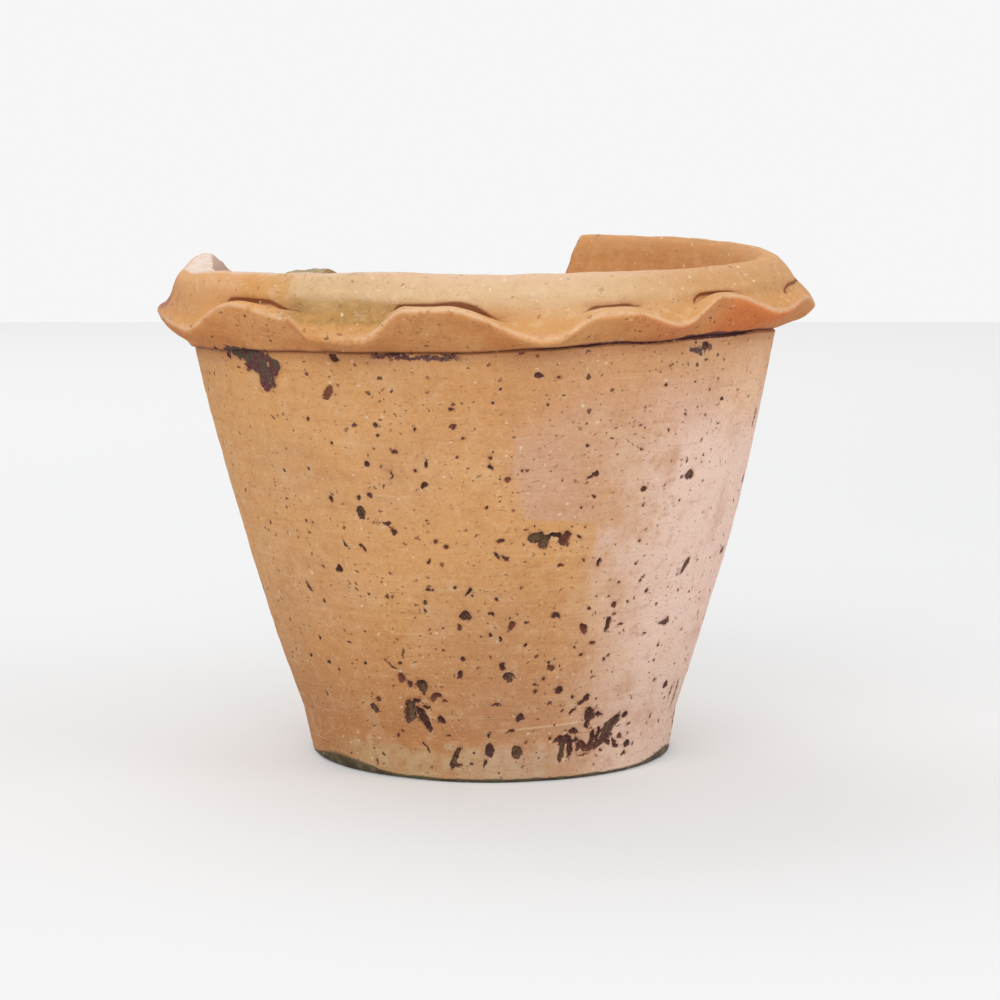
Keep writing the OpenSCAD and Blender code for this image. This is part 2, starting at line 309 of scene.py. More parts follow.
def steps(start, end, size):
    """Evenly spaced numbers from start up to, but not including, end."""
    return np.linspace(start, end, max(2, round(abs(end - start) / size)), endpoint=False)


def band_section(angles):
    """The band and rim at every angle: radii, heights and places along the section, one row per point."""
    up, foot_rise, lip_rise = crimped(angles)
    sections = (PRESSED, PINCHED, ROLLED, DRAWN)
    pressed, pinched, rolled, drawn = (np.array(section, float)[:, :, None] for section in sections)
    knots = pressed + (pinched - pressed) * up
    knots = knots + (rolled - knots) * near(angles, ROLLED_AT, ROLLED_SPREAD)
    knots = knots + (drawn - knots) * near(angles, DRAWN_AT, DRAWN_SPREAD)
    # the pinched edge stays folded over the rim for a way to the right of the front pinch
    crease = near(angles, CREASE_AT, 5.5)
    lip_top = knots[GROOVE_POINT - 2]
    folded = [lip_top + np.array([[-3.0], [-0.5]]), np.stack([0 * angles + 6.2, lip_top[1] + 1.2]),
              np.stack([0 * angles + 6.7, lip_top[1] - 2.4])]
    for point, place in enumerate(folded, GROOVE_POINT - 1):
        knots[point] += (place - knots[point]) * crease
    ends = np.concatenate([2 * knots[:1] - knots[1:2], knots, 2 * knots[-1:] - knots[-2:-1]])
    spans = np.hypot(*(knots[1:] - knots[:-1]).transpose(1, 0, 2)).mean(axis=1)
    points = []
    along = []
    for i, span in enumerate(spans):
        a, b, c, d = ends[i:i + 4]
        for t in steps(0, 1, 0.5 / span):
            points.append(0.5 * (2 * b + (c - a) * t + (2 * a - 5 * b + 4 * c - d) * t ** 2
                                 + (3 * b - a - 3 * c + d) * t ** 3))
            along.append(i + t)
    points = np.array(points)
    along = np.array(along)[:, None]
    lip_share = np.interp(along, [1, LIP_POINT - 1, GROOVE_POINT, GROOVE_POINT + 2.5], [0, 1, 1, 0])
    foot_share = 1 - np.interp(along, [1, LIP_POINT - 1], [0, 1])
    drop = points[:, 1] - foot_rise * foot_share - lip_rise * lip_share
    return WALL_TOP_R + points[:, 0], POT_H - drop, along[:, 0]


def whole_section(angles):
    """The closed section of the pot at every angle: radii and heights, and each row's kind and its place
    along the band. It runs from the drain hole under the foot, up the outside, over the rim and back in."""
    rows = []

    def add(kind, r, z):
        for one_r, one_z in zip(*np.broadcast_arrays(r, z)):
            rows.append((kind, one_r + 0 * angles, one_z + 0 * angles, OFF_BAND))

    foot_edge = FOOT_R - FOOT_BEVEL
    add("under", steps(DRAIN_R + 0.8, foot_edge, 2.5), 0.0)
    bevel = steps(0, 1, 0.2)
    add("wall", foot_edge + FOOT_BEVEL * np.sin(bevel * math.pi / 2) ** 0.8, FOOT_BEVEL * bevel ** 1.8)
    foot_rise = crimped(angles)[1]
    for height in steps(FOOT_BEVEL, SEAM_Z - 2, 0.6):
        lifted = height + foot_rise * smooth(SEAM_Z - 50, SEAM_Z - 2, height)
        rows.append(("wall", outside_r(lifted), lifted, OFF_BAND))
    band_r, band_z, along = band_section(angles)
    for r, z, place in zip(band_r, band_z, along):
        rows.append(("band", r, z, place))
    corner = BASE_T + FLOOR_CORNER
    height = steps(SEAM_Z - 1.5, corner, 1.5)
    add("inside", outside_r(height) - WALL_T, height)
    bend = steps(0, 1, 0.25)
    corner_r = outside_r(np.array(corner)) - WALL_T
    add("inside", corner_r - FLOOR_CORNER * (1 - np.cos(bend * math.pi / 2)),
        corner - FLOOR_CORNER * np.sin(bend * math.pi / 2))
    add("inside", steps(corner_r - FLOOR_CORNER, DRAIN_R + 1, 2), BASE_T)
    add("hole", DRAIN_R, steps(BASE_T - 0.8, 0.8, 1.8))
    return [np.array(column) for column in zip(*rows)]


def outward(points):
    """Outward directions over a grid of points that closes on itself both ways."""
    down = np.roll(points, -1, axis=0) - np.roll(points, 1, axis=0)
    across = np.roll(points, -1, axis=1) - np.roll(points, 1, axis=1)
    normal = np.cross(across, down)
    return normal / np.maximum(np.linalg.norm(normal, axis=-1, keepdims=True), 1e-9)


def scattered_hollows():
    """Small hollows all round, and bigger ones round the back."""
    rng = np.random.default_rng(41)
    hollows = []
    for _ in range(SMALL_HOLLOWS):
        low = rng.random() < 0.55
        height = rng.uniform(3, 75) if low else rng.uniform(40, 150)
        length = 1 + 0.9 * rng.random() ** 2
        hollows.append((rng.uniform(-180, 180), height, length, length * rng.uniform(0.5, 1),
                        rng.uniform(-80, 80), 0.4 + 0.15 * length, rng.random() ** 1.5))
    for _ in range(BACK_HOLLOWS):
        angle = rng.uniform(74, 286)
        height = 150 * rng.random() ** 1.4 + 3
        length = 2 + 5.5 * rng.random() ** 3
        hollows.append((angle, min(height, 148), length, length * rng.uniform(0.4, 0.9),
                        rng.uniform(-80, 80), 0.5 + 0.18 * length, rng.random() ** 1.2))
    for _ in range(CLUSTERED_HOLLOWS):
        angle = rng.choice(CLUSTERS_AT) + rng.normal(0, 5)
        height = 14 + abs(rng.normal(0, 12))
        length = 2 + 6 * rng.random() ** 2
        hollows.append((angle, height, length, length * rng.uniform(0.4, 0.8), rng.uniform(-80, 80),
                        0.5 + 0.15 * length, rng.random()))
    return hollows


def hollow_fields(angles, kinds, r, z):
    """How far inside a hollow each point of the grid is (above 0 is inside), and its depth and tone."""
    inside = np.full(r.shape, -1.0)
    depth = np.zeros(r.shape)
    tone = np.zeros(r.shape)
    wall = np.where((kinds == "wall") & (z[:, 0] > 0.4))[0]
    hollows = HOLLOWS + scattered_hollows()
    for number, (angle, height, length, width, slant, deep, shade) in enumerate(hollows):
        reach = length * 1.1
        turn = (angles - angle + 180) % 360 - 180
        rows = wall[np.abs(z[wall, np.abs(turn).argmin()] - height) < reach]
        radius = float(outside_r(np.array(height)))
        columns = np.where(np.abs(np.radians(turn)) * radius < reach)[0]
        if not len(rows) or not len(columns):
            continue
        window = np.ix_(rows, columns)
        across = np.radians(turn[columns])[None, :] * radius
        rise = z[window] - height
        here = np.stack([across + 0 * rise, rise, np.full(rise.shape, 7.7 * number)], axis=-1)
        bend = 0.22 * min(length, 5)
        across = across + bend * lumps(here, 0.5 * length + 0.4, 5) + 0.4 * lumps(here, 1.1, 6)
        rise = rise + bend * lumps(here, 0.5 * length + 0.4, 7) + 0.4 * lumps(here, 1.1, 8)
        lean = math.radians(slant)
        ahead = (across * math.cos(lean) + rise * math.sin(lean)) / (length / 2)
        aside = (rise * math.cos(lean) - across * math.sin(lean)) / (width / 2)
        into = (1 - np.hypot(ahead, aside)) * min(width, 3) / 3
        better = into > inside[window]
        inside[window] = np.where(better, into, inside[window])
        tone[window] = np.where(better, shade, tone[window])
        depth[window] = np.maximum(depth[window], deep * smooth(0, 0.35 * min(width, 3) / 3, into))
    return inside, depth, tone


def burnt_field(angles, kinds, r, z):
    """How far inside the dark flaked patches each point of the grid is."""
    inside = np.full(r.shape, -1.0)
    outer = ((kinds == "wall") | (kinds == "band"))[:, None] & (z < SEAM_Z + 3)
    points = places(angles, r, z)
    for angle, height, length, width in BURNT:
        across = np.radians((angles - angle + 180) % 360 - 180) * WALL_TOP_R
        into = 1 - np.hypot(across / (length / 2), (z - height) / (width / 2))
        inside = np.maximum(inside, np.where(outer, into, -1))
    close = inside > -0.9
    ragged = np.zeros(r.shape)
    ragged[close] = 0.35 * lumps(points[close], 2.6, 21) + 0.2 * lumps(points[close], 1.1, 22)
    return np.where(close, inside + ragged, -1)


def pot_grid():
    """The whole pot before it was broken: a grid of points, with one row per point of its section."""
    angles = np.arange(COLUMNS) * 360 / COLUMNS - 180
    kinds, r, z, along = whole_section(angles)
    up, foot_rise, _ = crimped(angles)
    points = places(angles, r, z)
    normal = outward(points)
    wall = (kinds == "wall")[:, None]
    band = (kinds == "band")[:, None]
    within = (kinds == "inside")[:, None]
    place = along[:, None]
    on_band = band & (place < RIM_POINT)

    # the fold behind the lip where it is pinched up, darkened in the colour as painted shade; the lip's
    # edge, lightened in the colour as a painted highlight; and the seam under the band
    crease = near(angles, CREASE_AT, 6)
    behind_lip = LIP_POINT + 1.6 + 2.05 * np.maximum(smooth(0.3, 0.85, up), crease)
    fold = np.where(on_band, near(place, behind_lip, 0.26 + 0.3 * crease)
                    * np.maximum(smooth(0.35, 0.7, up), crease), 0)
    lip = np.where(on_band, near(place, LIP_POINT + 0.4, 0.5), 0)
    outer = wall | (band & (place < RIM_POINT))
    above_seam = np.where(outer, z - (POT_H - SEAM_DROP + foot_rise), 99)

    # the swell of the clay, the rings of the wheel and the kneading of the band
    swell = 0.5 * lumps(points, 45, 1) + 0.16 * lumps(points, 14, 2) + 0.05 * lumps(points, 4, 3)
    rings = lumps(np.stack([points[..., 0] / 30, points[..., 1] / 30, points[..., 2]], axis=-1), 2.6, 4)
    kneaded = 0.55 * lumps(points, 24, 9) + 0.3 * lumps(points, 9, 10) + 0.12 * lumps(points, 3.2, 11)
    move = np.where(wall, swell + 0.11 * rings, 0)
    move = np.where(band, kneaded * smooth(-0.5, 3, place) + swell * (1 - smooth(-0.5, 3, place)), move)
    move = np.where(within, swell + 0.3 * lumps(points * [0.1, 0.1, 1], 5, 12), move)
    move = move + lip * 0.3 * lumps(points, 3.4, 13) - fold * 0.4

    pit, depth, tone = hollow_fields(angles, kinds, r, z)
    burnt = burnt_field(angles, kinds, r, z)
    move = move - depth - 0.45 * smooth(0, 0.25, burnt)
    scar = near(np.radians(angles - SCAR_AT) * 97 + 0.4 * (z - SCAR_UP), 0, 1.1) * near(z, SCAR_UP, 3.5)
    move = move + np.where(wall, 0.7 * scar, 0)

    points = points + normal * move[..., None]

    # the rim is worn down beside the break, and stands a little higher at the back right
    worn, = along_angles(WORN_EDGE, angles)
    worn = worn + 0.5 * smooth(0, 1.5, worn) * lumps(points, 6, 14)
    crown = POT_H - worn
    over = points[..., 2] - crown
    rubbed = np.where(band & (worn > 0.05), smooth(-0.4, 0.5, over), 0)
    soft = 0.5
    lowered = crown - soft * np.log1p(np.exp(np.clip(-over / soft, -30, 30)))
    cut = np.where(band & (z > POT_H - 9), smooth(0, 0.8, worn), 0)
    points[..., 2] += cut * (np.minimum(points[..., 2], lowered) - points[..., 2])
    raised = near(angles, RAISED_AT, RAISED_SPREAD) * smooth(RIM_POINT - 4, RIM_POINT - 1, place)
    points[..., 2] += raised * smooth(POT_H - 22, POT_H - 6, z)
    points[..., 2] = np.where((kinds == "under")[:, None], 0, np.maximum(points[..., 2], 0))
    fields = {
        "pit": pit, "tone": tone, "burnt": burnt, "fold": fold, "lip": lip, "worn": rubbed,
        "above_seam": above_seam,
        "band": np.where(band & (place < RIM_POINT + 4), smooth(0.2, 0.6, place), 0),
        "rim": np.where(band & (place < RIM_POINT + 4), smooth(LIP_POINT - 0.2, LIP_POINT + 0.8, place), 0),
        "crown": np.where(band, near(place, RIM_POINT, 1.6), 0),
        "within": np.where(within | (band & (place > RIM_POINT + 0.3)), 1.0, 0),
    }
    return points, {name: np.broadcast_to(field, r.shape) for name, field in fields.items()}


def missing_piece():
    """What has broken off: rings of points across the wall, each the same loop further along the break."""
    knots = np.array(BROKEN_EDGE, float)
    travel = np.hypot(np.radians(np.diff(knots[:, 0])) * 103, np.diff(knots[:, 1]))
    travel = np.concatenate([[0], np.cumsum(travel)])
    stops = np.linspace(0, travel[-1], round(travel[-1] / 0.7))
    angle = np.interp(stops, travel, knots[:, 0])
    drop = np.interp(stops, travel, knots[:, 1])
    across = np.linspace(0, 1, 44)
    r = CUT_FROM_R + (CUT_TO_R - CUT_FROM_R) * across
    z = POT_H - drop[:, None] + BREAK_LEAN * (0.5 - across)[None, :]
    face = places(angle[:, None] + 0 * z, r[None, :], z)
    rough = [lumps(face, 3, seed) + 1.6 * lumps(face, 9, seed + 3) for seed in (31, 32, 33)]
    face = face + 0.5 * np.stack(rough, axis=-1)
    over = np.full((1, 1), POT_H + CUT_OVER_RIM)
    roof = [places(angle[:, None], np.array([[edge_r]]), over) for edge_r in (CUT_TO_R, CUT_FROM_R)]
    return np.concatenate([face, *roof], axis=1)


def grid_mesh(name, points, fields, capped):
    """Mesh of a grid of points whose rows close on themselves. Its columns close too, or are capped."""
    rows, columns = points.shape[:2]
    spot = np.arange(rows * columns).reshape(rows, columns)
    ahead = np.roll(spot, -1, axis=1)
    quads = np.stack([spot, ahead, np.roll(ahead, -1, axis=0), np.roll(spot, -1, axis=0)], axis=-1)
    if capped:
        quads = quads[:-1]
    faces = [quads.reshape(-1, 4)]
    flat = points.reshape(-1, 3)
    a, b, c, d = (flat[faces[0][:, i]] for i in range(4))
    volume = (np.einsum("ij,ij->i", a, np.cross(b, c)) + np.einsum("ij,ij->i", a, np.cross(c, d))).sum()
    lists = quads.reshape(-1, 4).tolist()
    if capped:
        lists += [spot[0][::-1].tolist(), spot[-1].tolist()]
    if volume < 0:
        lists = [face[::-1] for face in lists]
    mesh = bpy.data.meshes.new(name)
    mesh.from_pydata((flat * MM).tolist(), [], lists)
    for field, values in fields.items():
        layer = mesh.attributes.new(field, "FLOAT", "POINT")
        layer.data.foreach_set("value", values.ravel().astype(np.float32))
    mesh.validate()
    return mesh


def place_object(name, mesh):
    piece = bpy.data.objects.new(name, mesh)
    bpy.context.scene.collection.objects.link(piece)
    return piece


def apply(piece, kind, **settings):
    """Adds a modifier to a piece and makes its result the piece's own mesh."""
    modifier = piece.modifiers.new(kind.lower(), kind)
    for name, value in settings.items():
        setattr(modifier, name, value)
    bpy.context.view_layer.update()
    shaped = bpy.data.meshes.new_from_object(piece.evaluated_get(bpy.context.evaluated_depsgraph_get()))
    piece.modifiers.clear()
    piece.data = shaped


def broken_pot():
    points, fields = pot_grid()
    pot = place_object("terracotta_pot", grid_mesh("terracotta_pot", points, fields, False))
    cutter = place_object("missing_piece", grid_mesh("missing_piece", missing_piece(), {}, True))
    for piece, fresh in ((pot, 0.0), (cutter, 1.0)):
        layer = piece.data.attributes.new("fresh", "FLOAT", "FACE")
        layer.data.foreach_set("value", np.full(len(piece.data.polygons), fresh, np.float32))
    apply(pot, "BOOLEAN", operation="DIFFERENCE", object=cutter, solver="MANIFOLD")
    bpy.data.objects.remove(cutter)
    apply(pot, "TRIANGULATE")
    apply(pot, "DECIMATE", ratio=TRIANGLES / len(pot.data.polygons))
    pot.data.transform(Matrix(((1, 0, -LEAN, 0), (0, 1, 0, 0), (0, 0, 1, 0), (0, 0, 0, 1))))
    pot.data.shade_smooth()
    pot.data.set_sharp_from_angle(angle=math.radians(50))
    return pot


# ---------------------------------------------------------------- materials
def tint(red, green, blue):
    """A colour from its 0 to 255 parts."""
    parts = (red / 255, green / 255, blue / 255)
    return (*(part / 12.92 if part <= 0.04045 else ((part + 0.055) / 1.055) ** 2.4 for part in parts), 1.0)


class Field:
    """One socket of a material, with the arithmetic that its masks are written in."""

    def __init__(self, paint, socket):
        self.paint = paint
        self.socket = socket

    def math(self, operation, *values):
        return self.paint.node("ShaderNodeMath", {"operation": operation}, dict(enumerate(values)))

    def __add__(self, other):
        return self.math("ADD", self, other)

    def __radd__(self, other):
        return self.math("ADD", other, self)

    def __sub__(self, other):
        return self.math("SUBTRACT", self, other)

    def __rsub__(self, other):
        return self.math("SUBTRACT", other, self)

    def __mul__(self, other):
        return self.math("MULTIPLY", self, other)

    def __rmul__(self, other):
        return self.math("MULTIPLY", other, self)

    def __truediv__(self, other):
        return self.math("DIVIDE", self, other)

    def __neg__(self):
        return self.math("MULTIPLY", self, -1)

    def or_(self, other):
        return self.math("MAXIMUM", self, other)

    def and_(self, other):
        return self.math("MINIMUM", self, other)

    def step(self, low, high):
        """0 at low and 1 at high, with a soft step between them."""
        return self.paint.node("ShaderNodeMapRange", {"interpolation_type": "SMOOTHSTEP"},
                               {"Value": self, "From Min": low, "From Max": high})

    def around(self, centre, width):
        """1 at the centre, and 0 a width away to either side."""
        gap = self - centre
        return 1 - gap.math("ABSOLUTE", gap).step(0, width)


class Paint:
    """The nodes of a material or a world, which is given as its owner."""

    def __init__(self, owner):
        owner.use_nodes = True
        self.owner = owner
        self.tree = owner.node_tree
        self.shader = self.tree.nodes.get("Principled BSDF")

    def link(self, value, socket):
        if isinstance(value, Field):
            self.tree.links.new(value.socket, socket)
        else:
            socket.default_value = value

    def node(self, kind, settings=None, values=None, out=0):
        """Adds a node: its settings are set first, then its sockets. Returns one of its outputs."""
        node = self.tree.nodes.new(kind)
        for name, setting in (settings or {}).items():
            setattr(node, name, setting)
        for name, value in (values or {}).items():
            self.link(value, node.inputs[name])
        return Field(self, node.outputs[out])

    def mark(self, name):
        """A field kept on the mesh."""
        return self.node("ShaderNodeAttribute", {"attribute_name": name}, out="Fac")

    def mix(self, share, under, over):
        """The colour over laid on the colour under."""
        return self.node("ShaderNodeMix", {"data_type": "RGBA"}, {0: share, 6: under, 7: over}, out=2)

    def stretched(self, place, scale):
        return self.node("ShaderNodeVectorMath", {"operation": "MULTIPLY"}, {0: place, 1: scale})

    def cloud(self, place, size, detail=3.0, rough=0.55):
        """Soft noise about 0.5, with lumps of about this size."""
        return self.node("ShaderNodeTexNoise", None,
                         {"Vector": place, "Scale": 1 / size, "Detail": detail, "Roughness": rough})

    def wandering(self, place, size, amount):
        """A place pushed about by noise, so that what is drawn there has a ragged outline."""
        noise = {"Vector": place, "Scale": 1 / size, "Detail": 2.0}
        push = self.node("ShaderNodeTexNoise", None, noise, out="Color")
        push = self.node("ShaderNodeVectorMath", {"operation": "SUBTRACT"}, {0: push, 1: (0.5, 0.5, 0.5)})
        push = self.node("ShaderNodeVectorMath", {"operation": "SCALE"}, {0: push, "Scale": amount})
        return self.node("ShaderNodeVectorMath", {"operation": "ADD"}, {0: place, 1: push})

    def specks(self, place, spacing, size, share):
        """1 in scattered specks up to a size across. Only a share of the spots in the clay have one."""
        cell = {"Vector": place, "Scale": 1 / spacing}
        distance = self.node("ShaderNodeTexVoronoi", None, cell, out="Distance") * spacing
        chance = self.node("ShaderNodeTexVoronoi", None, cell, out="Color")
        chance = self.node("ShaderNodeSeparateColor", None, {"Color": chance}, out="Red")
        reach = (chance - (1 - share)) / share * size
        return (reach - distance).step(-0.08, 0.14)

    def hairlines(self, place, spacing, width):
        """1 along thin wandering lines."""
        gap = self.node("ShaderNodeTexVoronoi", {"feature": "DISTANCE_TO_EDGE"},
                        {"Vector": place, "Scale": 1 / spacing}) * spacing
        return 1 - gap.step(width * 0.3, width)


def terracotta():
    paint = Paint(bpy.data.materials.new("terracotta"))
    metres = paint.node("ShaderNodeTexCoord", out="Object")
    place = paint.stretched(metres, (1 / MM, 1 / MM, 1 / MM))
    xyz = {0: place}
    up = paint.node("ShaderNodeSeparateXYZ", None, xyz, out="Z")
    x = paint.node("ShaderNodeSeparateXYZ", None, xyz, out="X") + up * LEAN
    y = paint.node("ShaderNodeSeparateXYZ", None, xyz, out="Y")
    turn = x.math("ARCTAN2", x, -y) * math.degrees(1)

    broad = paint.cloud(place, 55, 2)
    patchy = paint.cloud(place, 17, 4, 0.6)
    mottle = paint.cloud(place, 5, 5, 0.65)
    grain = paint.cloud(place, 1.1, 4, 0.65)
    streak = paint.cloud(paint.stretched(place, (0.05, 0.05, 1)), 1.6, 4, 0.6)
    ragged = paint.wandering(place, 1.5, 2.6)
    within = paint.mark("within")
    band = paint.mark("band")
    rim = paint.mark("rim")
    wall = (1 - within).and_(1 - band)

    # the skin of the wall: tan, and browner low down
    skin = paint.mix(broad.step(0.35, 0.65), tint(216, 163, 111), tint(221, 164, 104))
    skin = paint.mix(up.around(140, 30) * turn.around(2, 30) * 0.55, skin, tint(206, 142, 78))
    skin = paint.mix(up.step(85, 12) * 0.8, skin, tint(185, 126, 77))
    skin = paint.mix(turn.around(6, 24) * up.around(60, 55) * 0.35, skin, tint(182, 132, 94))
    skin = paint.mix(turn.around(8, 26) * up.step(60, 18) * 0.45, skin, tint(194, 148, 116))
    skin = paint.mix(up.step(28, 6) * turn.around(-45, 50) * 0.5, skin, tint(180, 118, 68))

    # the pink bloom on the right, with a crisp edge on its left
    wander = (patchy - 0.5) * 8 + (mottle - 0.5) * 5
    left_edge = 6 + 2.5 * up.step(112, 98) + 15.5 * up.step(99, 96) + wander
    crisp = up.around(98, 48)
    soft_edge = (turn - left_edge).step(-14, 20)
    pink = soft_edge + ((turn - left_edge).step(-1.5, 2) - soft_edge) * crisp
    pink = pink * turn.step(150, 100) * (1 - 0.3 * up.step(134, 150))
    patch = (turn - left_edge).step(-0.8, 0.8) * turn.step(32, 12) * (up + wander * 0.4).step(96, 97.5)
    patch = patch * (up - turn + wander).step(128, 114)
    deep_pink = (turn + (patchy - 0.5) * 30 + 12 * up.step(98, 92)).step(14, 46) * up.step(158, 116)
    bloom = paint.mix(turn.step(26, 54), tint(232, 196, 175), tint(249, 216, 201))
    bloom = paint.mix(deep_pink, tint(208, 155, 115), bloom)
    clouded = (patchy * 0.6 + mottle * 0.4).step(0.53, 0.4) * turn.step(54, 36)
    bloom = paint.mix(clouded * 0.4, bloom, tint(218, 168, 128))
    lilac = (turn + wander).around(42, 15).step(0, 0.7) * (up + wander).around(139, 14).step(0, 0.7)
    bloom = paint.mix(lilac * 0.55, bloom, tint(226, 180, 162))
    bloom = paint.mix(up.step(60, 5) * 0.5, bloom, tint(220, 188, 164))
    skin = paint.mix(pink * (0.72 + 0.23 * deep_pink), skin, bloom)
    skin = paint.mix(patch * 0.55, skin, tint(213, 169, 143))
    # painted highlight high on the right of the wall
    skin = paint.mix(turn.around(66, 22) * up.around(140, 26) * 0.8, skin, tint(246, 200, 162))

    # pale and dark clouding, fine mottling, and faint lines from the wheel
    skin = paint.mix(patchy.step(0.52, 0.75) * 0.3, skin, tint(228, 188, 148))
    skin = paint.mix(patchy.step(0.48, 0.25) * 0.35, skin, tint(188, 126, 80))
    skin = paint.mix(mottle.step(0.52, 0.72) * 0.3, skin, tint(232, 200, 164))
    skin = paint.mix(mottle.step(0.48, 0.28) * 0.3, skin, tint(178, 114, 72))
    skin = paint.mix(grain.step(0.52, 0.75) * 0.3, skin, tint(238, 206, 170))
    skin = paint.mix(grain.step(0.48, 0.25) * 0.35, skin, tint(160, 104, 70))
    skin = paint.mix(streak.step(0.56, 0.75) * 0.25, skin, tint(236, 202, 162))
    skin = paint.mix(streak.step(0.44, 0.28) * 0.2, skin, tint(166, 108, 72))
    # a pale ring round the front: rubbed clay, with a painted highlight along its ridge
    pale_ring_highlight = (up - turn * 0.07).around(19.6, 0.8) * turn.step(-8, 14) * turn.step(28, 25)
    pale_ring_highlight = pale_ring_highlight * mottle.step(0.3, 0.45)
    skin = paint.mix(pale_ring_highlight * 0.45, skin, tint(240, 208, 172))

    # the rim: tan on the left, cream at the front, golden on the right, and stained beside the first pinch
    cream = (turn + (mottle - 0.5) * 12).step(-47, -36)
    rim_skin = paint.mix(cream, tint(219, 163, 110), tint(219, 184, 142))
    rim_skin = paint.mix(turn.step(14, 46) * 0.85, rim_skin, tint(204, 150, 94))
    rim_skin = paint.mix(turn.around(-26, 20) * 0.35, rim_skin, tint(202, 162, 106))
    rim_skin = paint.mix(up.step(178, 167) * 0.85, rim_skin, tint(207, 146, 82))
    smear = turn.around(-67, 15) * up.around(167, 9) * mottle.step(0.4, 0.6)
    rim_skin = paint.mix(smear * 0.6, rim_skin, tint(178, 124, 72))
    stain = turn.around(-25, 16).step(0, 0.5) * (up + (mottle - 0.5) * 5).around(171, 6.5).step(0, 0.6)
    stain = stain * (0.35 + 0.65 * (patchy * 0.5 + mottle * 0.7).step(0.46, 0.64))
    rim_skin = paint.mix(stain * 0.8, rim_skin, tint(168, 128, 66))
    rim_skin = paint.mix(turn.around(76, 18) * up.step(174, 168) * 0.6, rim_skin, tint(212, 142, 84))
    golden = (turn + (mottle - 0.5) * 8).around(-42, 9).step(0, 0.5) * up.around(178, 12)
    rim_skin = paint.mix(golden * 0.7, rim_skin, tint(208, 148, 74))
    rim_skin = paint.mix(mottle.step(0.5, 0.72) * 0.3, rim_skin, tint(238, 208, 176))
    rim_skin = paint.mix(mottle.step(0.5, 0.28) * 0.3, rim_skin, tint(200, 150, 104))
    rim_skin = paint.mix(grain.step(0.48, 0.28) * 0.3, rim_skin, tint(178, 126, 86))
    rim_skin = paint.mix(paint.mark("crown") * turn.around(0, 75) * 0.5, rim_skin, tint(218, 182, 160))
    bruise = (turn + (patchy - 0.5) * 30).around(-88, 20) * (up + (mottle - 0.5) * 8).around(168, 12)
    bruise = bruise.step(0, 0.6) * (patchy * 0.5 + mottle * 0.5).step(0.36, 0.6)
    rim_skin = paint.mix(bruise * 0.8, rim_skin, tint(150, 88, 84))

    # the underside of the band, redder than the rim
    band_skin = paint.mix(patchy.step(0.35, 0.65), tint(212, 138, 78), tint(222, 160, 100))
    band_skin = paint.mix(turn.around(-10, 14) * 0.4, band_skin, tint(200, 142, 90))
    band_skin = paint.mix(turn.around(56, 18).step(0, 0.7) * 0.85, band_skin, tint(224, 124, 62))
    band_skin = paint.mix(turn.around(-42, 13) * 0.4, band_skin, tint(228, 160, 100))
    band_skin = paint.mix(turn.around(-66, 16) * 0.6, band_skin, tint(210, 126, 66))
    band_skin = paint.mix(turn.around(16, 14) * 0.6, band_skin, tint(236, 178, 116))
    band_skin = paint.mix(turn.around(34, 14) * 0.6, band_skin, tint(214, 124, 74))
    band_skin = paint.mix(mottle.step(0.5, 0.3) * 0.35, band_skin, tint(164, 102, 62))
    band_skin = paint.mix(grain.step(0.5, 0.75) * 0.3, band_skin, tint(224, 178, 134))
    band_skin = paint.mix(grain.step(0.48, 0.25) * 0.35, band_skin, tint(140, 88, 60))

    inner_skin = paint.mix(mottle.step(0.35, 0.7), tint(206, 146, 90), tint(218, 166, 112))
    scuffed = paint.mark("crown") * mottle.step(0.4, 0.6)
    inner_skin = paint.mix(scuffed * 0.5, inner_skin, tint(150, 106, 84))

    colour = paint.mix(band, skin, paint.mix(rim, band_skin, rim_skin))
    colour = paint.mix(within, colour, inner_skin)
    # painted highlight: a pale line along the lip's edge
    lip_highlight = paint.mark("lip") * mottle.step(0.3, 0.5) * (1 - turn.around(-28, 9))
    colour = paint.mix(lip_highlight * 0.6, colour, tint(234, 194, 158))
    wrinkles = paint.hairlines(paint.wandering(paint.stretched(place, (1, 1, 1.6)), 3, 5), 8, 0.5)
    wrinkles = wrinkles * mottle.step(0.46, 0.56) * patchy.step(0.44, 0.54)
    wrinkles = wrinkles * turn.around(-28, 24).step(0, 0.5) * band
    colour = paint.mix(wrinkles * 0.25, colour, tint(120, 78, 54))
    # painted shade: a dark brown line in the crease behind the pinched lip
    colour = paint.mix(paint.mark("fold").step(0.25, 0.85) * 0.85, colour, tint(126, 62, 34))

    # painted shade on the wall just under the band, the brown line of the seam, its soot on the right, and
    # soil that clings below it
    above = paint.mark("above_seam")
    # painted shade: a darker brown band on the wall just below the seam, where the band overhangs it
    shade_under_band = (above + (mottle - 0.5) * 4).around(0, 6.5) * above.step(1, -0.5)
    colour = paint.mix(shade_under_band * 0.5, colour, tint(172, 108, 66))
    colour = paint.mix(above.around(0, 1.1) * 0.6, colour, tint(136, 78, 62))
    soot_reach = 0.7 + 1.1 * turn.around(50, 14)
    sooty = (above + 0.2 + (mottle - 0.5) * 2).around(0, soot_reach) * turn.step(6, 16) * turn.step(68, 58)
    colour = paint.mix(sooty.step(0.1, 0.4) * 0.88, colour, tint(88, 48, 56))
    clinging = (above + 1.6 + (mottle - 0.5) * 7 + (grain - 0.5) * 4).around(0, 1.4).step(0.1, 0.45)
    clinging = clinging * turn.around(-12.5, 10.5).step(0, 0.25) * above.step(1.2, 0.2)
    smudges = (above + 4.5 + (mottle - 0.5) * 7).around(0, 3.4) * turn.around(45, 5).step(0, 0.5)
    soil = clinging.or_((smudges + (grain - 0.5) * 1.5).step(0.62, 0.8) * above.step(0.4, -0.4))
    earth = paint.mix(grain.step(0.4, 0.6), tint(62, 38, 44), tint(98, 68, 70))
    colour = paint.mix(soil * 0.92, colour, earth)

